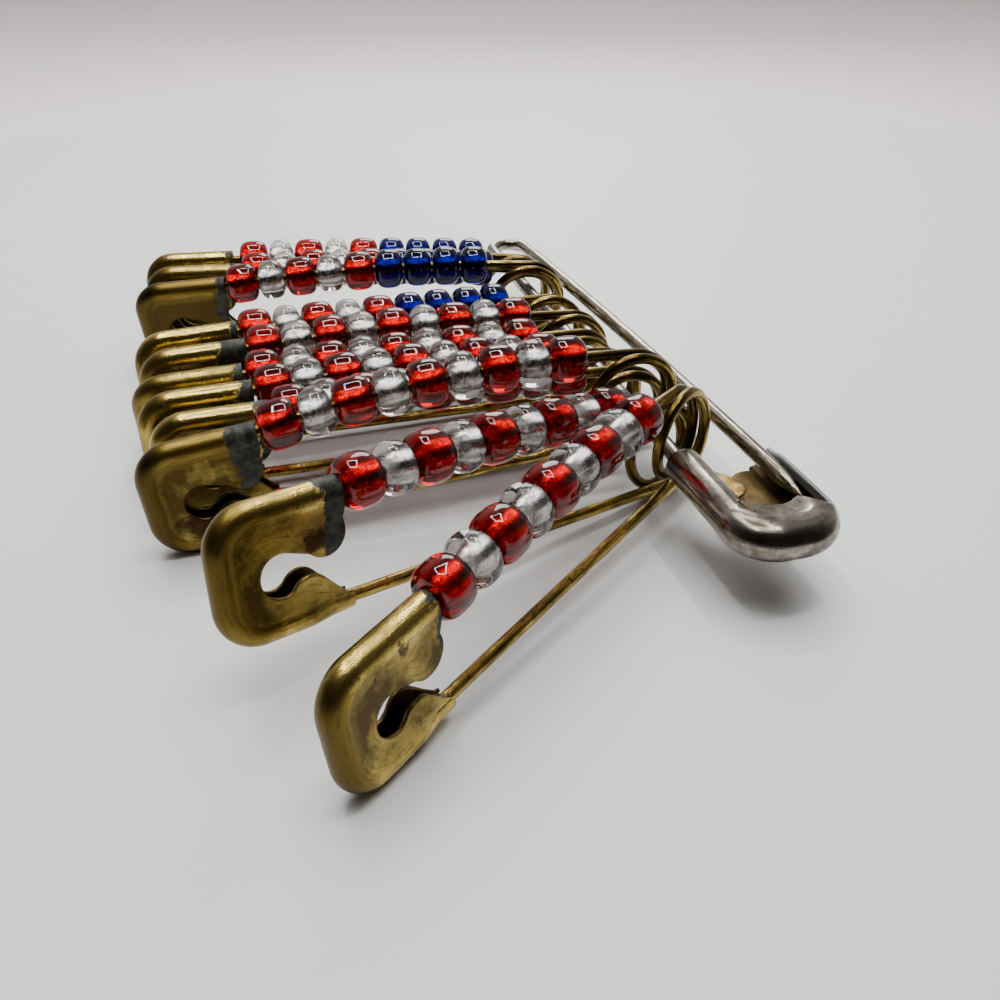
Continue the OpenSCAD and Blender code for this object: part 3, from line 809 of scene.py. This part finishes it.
def glass_finish(name, colour, rough=0.03):
    """Clear coloured glass with a faintly uneven, fire-polished skin."""
    mat, add, set_ = material(name)
    wave = noise(add, space(add, "Object"), 900, 2, 0.5)
    tone = ramp(add, wave, [(0.3, 0.0), (0.7, 1.0)])
    set_("Base Color", mix(add, tone, colour, darker(colour, 0.88)))
    set_("Transmission Weight", 1.0)
    set_("IOR", GLASS_IOR)
    set_("Specular IOR Level", 0.34)
    set_("Roughness", rough)
    set_("Normal", bump(add, wave, 0.05, 0.00004))
    return mat


def lining_finish(name, colour):
    """Crinkled silver on the wall of the hole: bright, mottled and finely pitted."""
    mat, add, set_ = material(name)
    place = space(add, "Object")
    crinkle = noise(add, place, 8500, 4, 0.7)
    patch = ramp(add, noise(add, place, 3000, 3, 0.6), [(0.36, 0.0), (0.52, 1.0)])
    set_("Base Color", mix(add, patch, darker(colour, 0.45), colour))
    set_("Metallic", 1.0)
    set_("Roughness", ramp(add, crinkle, [(0.3, 0.14), (0.7, 0.3)]))
    set_("Normal", bump(add, crinkle, 0.45, 0.000025))
    return mat


glass = {
    "red": glass_finish("red_glass", (0.30, 0.0004, 0.001)),
    "clear": glass_finish("clear_glass", (0.60, 0.57, 0.555)),
    "blue": glass_finish("blue_glass", (0.0012, 0.0001, 0.09)),
}
silver = {
    "red": lining_finish("silver_behind_red", (0.98, 0.55, 0.45)),
    "clear": lining_finish("silver_behind_clear", (0.95, 0.95, 0.94)),
    "blue": lining_finish("silver_behind_blue", (0.4, 0.25, 0.95)),
}
print("glasses:", *glass)

# %% [markdown]
# ## The small pins
# Eleven wires and eleven caps, each in the place of its solid. A cap is worked out as the
# middle of its sheet, and a modifier gives it its thickness and its darker inside.

# %% Wires and caps
SIDES = 18
COIL_SHADE_AT = 8  # mm of wire from the tip, less the arm's arc, to the darkest place of the coil's painted shade
COIL_SHADE_WIDE = 60  # mm2, how far the coil's painted shade spreads


def thicken(piece, thickness, inner=None):
    """Gives a sheet its thickness in mm, with its inner side in a second finish if there is one."""
    solid = piece.modifiers.new("sheet", "SOLIDIFY")
    solid.thickness = thickness * MM
    solid.offset = 0.0
    solid.use_even_offset = False
    if inner:
        piece.data.materials.append(inner)
        solid.material_offset = 1
        solid.material_offset_rim = 1


def finish_piece(piece, mat, node, body="brooch"):
    """Material, body and solid of a finished piece."""
    piece.data.materials.append(mat)
    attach(piece, body)
    if node:
        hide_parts(node)


def painted_coil_shade(i, path):
    """Painted shade along wire i: exp(-(past - COIL_SHADE_AT)^2 / COIL_SHADE_WIDE), past counted from the
    tip.
    """
    past = np.clip(run_length(path[::-1])[::-1] - arm_arc(i)[4], 0, None)
    return np.exp(-(past - COIL_SHADE_AT) ** 2 / COIL_SHADE_WIDE)


for i in range(PINS):
    name = f"pin_{i + 1:02d}"
    path, radius = wire_path(i)
    grid = laid(i, tube(path, radius, SIDES))
    # The wire's mark is a painted shade over the coil.
    marks = {"darkening": np.broadcast_to(painted_coil_shade(i, path)[:, None], grid.shape[:2])}
    wire = grid_piece(name + "_drawn_wire", grid, True, tube_uv(path, SIDES), marks, lids=True)
    finish_piece(wire, brass_wire, name + "_wire")
    local, uv, marks = small_cap(i)
    cap = grid_piece(name + "_folded_cap", laid(i, local), False, uv, marks)
    finish_piece(cap, brass_sheet, name + "_cap")
    thicken(cap, SHEET, brass_inside)
print("small pins:", PINS)

# %% [markdown]
# ## Strings of beads
# The beads of one colour on one pin are one piece, as their solid is, and their linings
# are a second piece that has no solid, since it lies wholly inside the glass.

# %% Strings of beads
def stack_uv(grids):
    """UV of a stack of wrapped grids: 0 to 1 round and along each of them."""
    count, rows, cols, _ = grids.shape
    uv = np.stack(np.meshgrid(np.linspace(0, 1, cols + 1), np.linspace(0, 1, rows)), -1)
    return np.broadcast_to(uv, (count, rows, cols + 1, 2))


for i in range(PINS):
    for kind in BEAD_L:
        if kind not in bead_order(i)[0]:
            continue
        name = f"pin_{i + 1:02d}_{kind}"
        rings, tubes = bead_rings(i, kind)
        beads = grid_piece(name + "_glass", laid(i, rings), True, stack_uv(rings))
        finish_piece(beads, glass[kind], name + "_beads")
        foil = grid_piece(name + "_lining", laid(i, tubes), True, stack_uv(tubes))
        finish_piece(foil, silver[kind], None)
print("beads:", BEADS * PINS)

# %% [markdown]
# ## The large pin
# One nickel-plated wire, bent round at the far end. Its back leg is held in the cap's
# sleeve and its arm lies in the cap's open hood. The wire is drawn in two pieces that
# meet at the far side of the bend, because the arm turns there.

# %% Wire of the large pin
MAIN_SIDES = 28


def raised(points):
    """Points of the large pin's own plane, moved to where it lies."""
    return points + [0, 0, main_z] - MIDDLE


def bend(a, b, n):
    """Points of the large pin's bend between two angles."""
    t = np.radians(np.linspace(a, b, n))
    return np.stack([MAIN_BEND * np.cos(t), MAIN_BEND * (1 + np.sin(t)), 0 * t], -1)


def main_leg_path():
    """From inside the sleeve along the leg and round half of the bend."""
    leg = np.stack([np.linspace(MAIN_LEG + SLEEVE_IN, 0, 90), np.zeros(90), np.zeros(90)], -1)
    return np.concatenate([leg, bend(-90, -180, 30)[1:]])


def main_arm_path():
    """The other half of the bend and one large arc into the hood, with its radius at each point."""
    up = math.radians(MAIN_UP)
    start = np.array([-MAIN_BEND * math.sin(up), MAIN_BEND * (1 + math.cos(up))])
    ahead, aside = np.array([math.cos(up), math.sin(up)]), np.array([math.sin(up), -math.cos(up)])
    chord = np.array([MAIN_LEG, MAIN_SPREAD]) - start
    radius = (chord @ chord) / (2 * (chord @ aside))
    turned = 2 * math.atan2(chord @ aside, chord @ ahead)
    reach = np.linspace(0, turned * radius + TIP_IN, 110)[1:, None]
    arm = start + radius * (np.sin(reach / radius) * ahead + (1 - np.cos(reach / radius)) * aside)
    path = np.concatenate([bend(180, 90 + MAIN_UP, 30), np.concatenate([arm, 0 * arm[:, :1]], 1)])
    left = run_length(path)[-1] - run_length(path)
    return path, main_r * np.clip(BLUNT + (1 - BLUNT) * left / POINT, 0, 1)


def main_wire(name, path, radius):
    """One drawn piece of the large pin's wire."""
    grid = raised(tube(path, radius, MAIN_SIDES))
    print(name, round(float(run_length(path)[-1]), 1), "mm")
    return grid_piece(name, grid, True, tube_uv(path, MAIN_SIDES), lids=True)


leg = main_wire("main_drawn_leg", main_leg_path(), main_r)
finish_piece(leg, nickel_wire, "main_pin_leg")
arm = main_wire("main_drawn_arm", *main_arm_path())
finish_piece(arm, arm_nickel, "main_pin_arm", "arm")

# %% [markdown]
# ## Cap of the large pin
# The cap is folded from one sheet like the small ones, but its upper plate has been
# opened: only a narrow rim is left at the closed end, the hood's side stands up as a
# thin flap, and one sees down into the brass-coloured inside with its round lobe. On
# the leg's side the sheet wraps right round the wire as a sleeve. Rows of (share of the
# ridge, value) say how the roll changes from the hood's mouth to the sleeve's.

# %% Cap of the large pin
LIP = 0.1  # mm of sheet that goes straight on after the roll, where there is no plate
RIM = np.array([  # share of the ridge, and x and y of the rim's edge, in mm from the closed end
    (0, 3.0, 4.75), (0.34, 3.0, 4.75), (0.37, 3.05, 4.45), (0.40, 2.75, 3.95),
    (0.43, 2.35, 3.3), (0.46, 2.25, 2.9), (0.50, 2.3, 2.4), (0.54, 2.5, 1.95),
    (0.58, 2.8, 1.5), (0.62, 3.2, 1.2), (0.66, 3.6, 1.1), (1.0, 7.0, 1.1)])
LOWER_SHARES = np.array([
    (0, 0), (0.05, 0.06), (0.30, 0.40), (0.42, 0.50),
    (0.55, 0.55), (0.68, 0.62), (0.95, 0.90), (1.0, 1.0)])
at = np.linspace(0, 1, 190)
main_line = stations(c_line(MAIN_CAP, main_h, main_ridge, 0.19 * MAIN_CAP), at)
main_roll = eased(at, [(0, main_ridge), (0.60, main_ridge), (0.72, main_sleeve), (1, main_sleeve)])
main_roll = main_roll - SHEET / 2
over = eased(at, [(0, 8), (0.12, 38), (0.24, 44), (0.34, 34), (0.40, 94), (0.62, 94), (0.70, 196), (1, 200)])
under = eased(at, [(0, 88), (0.03, 88), (0.09, 112), (0.6, 112), (0.7, 92), (1, 92)])
rimmed = eased(at, [(0, 0), (0.36, 0), (0.41, 1), (0.62, 1), (0.68, 0), (1, 0)])
plate_level = main_ridge - DROP - SHEET / 2


def upper_side():
    """Free edge and level of the upper sheet: a lip after the roll, but at the nose a rim."""
    a = np.radians(over)
    away = main_roll * np.cos(a) - LIP * np.sin(a)
    lip = main_line + outward(main_line) * away[:, None]
    rim = np.stack([np.interp(at, RIM[:, 0], RIM[:, k]) for k in (1, 2)], -1)
    edge = lip * (1 - rimmed[:, None]) + rim * rimmed[:, None]
    return edge, (main_roll * np.sin(a) + LIP * np.cos(a)) * (1 - rimmed) + plate_level * rimmed


def lower_side():
    """Free edge and level of the lower plate: a round lobe beside the arm, then back to the sleeve."""
    lobe = arc((0.82 * MAIN_CAP, 0.72 * main_h), 0.125 * MAIN_CAP, 30, -120, 40)
    back = [[0.74 * MAIN_CAP, 0.55 * main_h], [0.98 * MAIN_CAP, 0.36 * main_h], [MAIN_CAP, main_ridge]]
    free = np.concatenate([[[MAIN_CAP, main_h - main_ridge]], lobe, back])
    shares = np.interp(at, LOWER_SHARES[:, 0], LOWER_SHARES[:, 1])
    return stations(even(free), shares), np.minimum(plate_level, main_roll * 0.99)


def main_cap():
    """Folded sheet of the large cap, its UV and the marks its finishes need."""
    edges, levels = zip(upper_side(), lower_side())
    grid, reach = folded(main_line, edges, main_roll, (over, under), levels, 0.0, 26, 1 + 0.3 * rimmed)
    local = grid * [-1, 1, 1] + [main_end, -main_ridge, 0]
    local[..., 2] -= 0.01 * np.abs(ripple(local, 1.4, 7)) * np.sign(local[..., 2])
    upper_half = np.arange(reach.shape[1]) < reach.shape[1] / 2
    flap = np.clip((0.37 - at[:, None]) / 0.03, 0, 1) * upper_half
    mottle = np.exp(-((at[:, None] - 0.46) / 0.09) ** 2) * np.clip(0.5 - 1.2 * grid[..., 2], 0, 1)
    return local[:, ::-1], sheet_uv(grid)[:, ::-1], {"flap": flap[:, ::-1], "mottle": mottle[:, ::-1]}


local, uv, marks = main_cap()
cap = grid_piece("main_folded_cap", raised(local), False, uv, marks)
finish_piece(cap, nickel_sheet, "main_pin_cap")
thicken(cap, SHEET, flap_inside)
print("large cap, points:", local.shape[:2])

# %% [markdown]
# ## Tongue of the large cap
# The end of the sheet comes out under the sleeve as a pointed tongue, bare brass where
# the plating did not take. It is a strip ruled between two edges, curled across.

# %% Tongue of the large cap
TONGUE = np.array([  # share of its length, x and y of the near edge, x and y of the far edge
    (0, 7.7, 1.6, 7.75, 1.95), (0.25, 6.9, 1.55, 6.9, 2.55), (0.5, 6.1, 1.5, 6.0, 3.02),
    (0.72, 5.4, 1.5, 5.35, 3.05), (0.86, 5.0, 1.5, 4.95, 2.6), (1.0, 4.6, 1.5, 4.5, 1.8)])
TONGUE_Z = -0.62
TONGUE_T = 0.1


def tongue():
    """Pointed strip under the sleeve: near (1 - w) + far w, raised by a sine across and along."""
    t = np.linspace(0, 1, 60)
    near, far = (np.stack([np.interp(t, TONGUE[:, 0], TONGUE[:, k]) for k in pair], -1)
                 for pair in ((1, 2), (3, 4)))
    w = np.linspace(0, 1, 18)[None, :]
    flat = near[:, None] * (1 - w[..., None]) + far[:, None] * w[..., None]
    height = TONGUE_Z + 0.3 * np.sin(w * np.pi * 0.55) + 0.03 * np.sin(t * 22)[:, None] * w
    return np.concatenate([flat, height[..., None]], -1) * [-1, 1, 1] + [main_end, -main_ridge, 0]


grid = tongue()[:, ::-1]
strip = grid_piece("main_cap_tongue", raised(grid), False, sheet_uv(grid))
finish_piece(strip, brass_tongue, None)
thicken(strip, TONGUE_T)
print("tongue:", round(float(run_length(grid[:, 0])[-1]), 1), "mm")

# %% [markdown]
# ## Table
# The brooch lies on a pale round table in a pale room. The table's edge is far enough
# behind the brooch to show as the soft line at the top of the photograph.

# %% Table
TABLE_R = 72.6
TABLE_AWAY = 77.4  # mm from under the camera to the middle of the table
ROOM_R = 900.0
ROOM_Z = -30.0


def stage_finish(name, colour, rough):
    """Plain pale surface with a very faint mottling."""
    mat, add, set_ = material(name)
    cloud = noise(add, space(add, "Object"), 60, 4, 0.6)
    set_("Base Color", mix(add, cloud, colour, darker(colour, 0.96)))
    set_("Roughness", rough)
    return mat


def disc(name, centre, radius, height, mat, sides=128):
    """Flat round stage in mm, from rings of points: under the rim, round it and to the middle."""
    r = np.array([1.0, 1.0, 0.97, 0.5, 0.0])[:, None] * radius
    z = np.array([-4.0, -0.6, 0.0, 0.0, 0.0])[:, None] + height
    t = np.arange(sides) / sides * 2 * np.pi
    r = np.maximum(r, 0.001)
    x, y = centre[0] + r * np.cos(t), centre[1] + r * np.sin(t)
    grid = np.stack([x, y, z + 0 * t], -1)
    piece = grid_piece(name, grid, True, np.zeros((len(r), sides + 1, 2)), lids=True)
    piece.data.materials.append(mat)


ahead = np.array([math.cos(math.radians(HEADING)), math.sin(math.radians(HEADING))])
table_centre = (EYE - MIDDLE)[:2] + ahead * TABLE_AWAY
disc("round_table", table_centre, TABLE_R, 0.0, stage_finish("pale_table", (0.70, 0.70, 0.69), 0.5))
disc("room_floor", table_centre, ROOM_R, ROOM_Z, stage_finish("pale_room", (0.92, 0.85, 0.83), 0.8))
print("middle of the table, mm:", table_centre.round(1))

# %% [markdown]
# ## Light
# Four thin lamps overhead form the rectangle that glints on every bead. A wide soft lamp
# above them lights table and linings, but mirrors do not see it, so the metal keeps its
# dark reflections, and a smaller lamp stands to the side like a window.

# %% Light
STRIPS_AT = np.array([-60.0, 10.0, 230.0])
STRIPS = [(0, 60, 150, 7), (0, -60, 150, 7), (75, 0, 7, 120), (-75, 0, 7, 120)]  # x, y, width, depth
STRIP_POWER = 0.14


def lamp(name, place, size, power, aim, colour=(1, 1, 1)):
    """Rectangular lamp at a place in mm, turned to aim at a point."""
    data = bpy.data.lights.new(name, "AREA")
    data.shape = "RECTANGLE"
    data.size, data.size_y = size[0] * MM, size[1] * MM
    data.energy = power
    data.color = colour
    body = bpy.data.objects.new(name, data)
    bpy.context.scene.collection.objects.link(body)
    stands = np.array(place, dtype=float)
    body.location = stands * MM
    body.rotation_euler = Vector((np.array(aim) - stands)).to_track_quat("-Z", "Y").to_euler()
    return body


for k, (x, y, width, depth) in enumerate(STRIPS):
    lamp(f"tent_lamp_{k}", STRIPS_AT + [x, y, 0], (width, depth), STRIP_POWER, STRIPS_AT + [x, y, -100])
lamp("window_side", (-260, 90, 150), (120, 120), 0.35, (0, 0, 0), (1.0, 0.98, 0.95))
sky = lamp("soft_sky", (-150, 30, 400), (600, 500), 2.7, (-140, 20, 0))
sky.visible_glossy = False
print("lamps:", len(STRIPS) + 2)

# %% [markdown]
# ## Room
# Beyond the lamps the room is bright behind the brooch and dark on the camera's side,
# where the photographer stands. The shade is a ramp of 0.5 + (a + ROOM_LEAN h) / 2: a is
# a direction's part along the camera's heading and h its height.

# %% Room
ROOM = [(0.3, (0.02, 0.019, 0.018)), (0.45, (0.11, 0.108, 0.105)), (0.82, (0.5, 0.49, 0.48))]
ROOM_LEAN = -0.3
world = bpy.data.worlds.new("light_tent")
bpy.context.scene.world = world
add, set_ = tree_tools(world, "Background")
way = (ahead[0] / 2, ahead[1] / 2, ROOM_LEAN / 2)
along = add("ShaderNodeVectorMath", {0: space(add, "Generated"), 1: way}, operation="DOT_PRODUCT")
set_("Color", ramp(add, maths(add, "ADD", along.outputs["Value"], 0.5), ROOM))
set_("Strength", 1.0)
print("room shades:", len(ROOM))
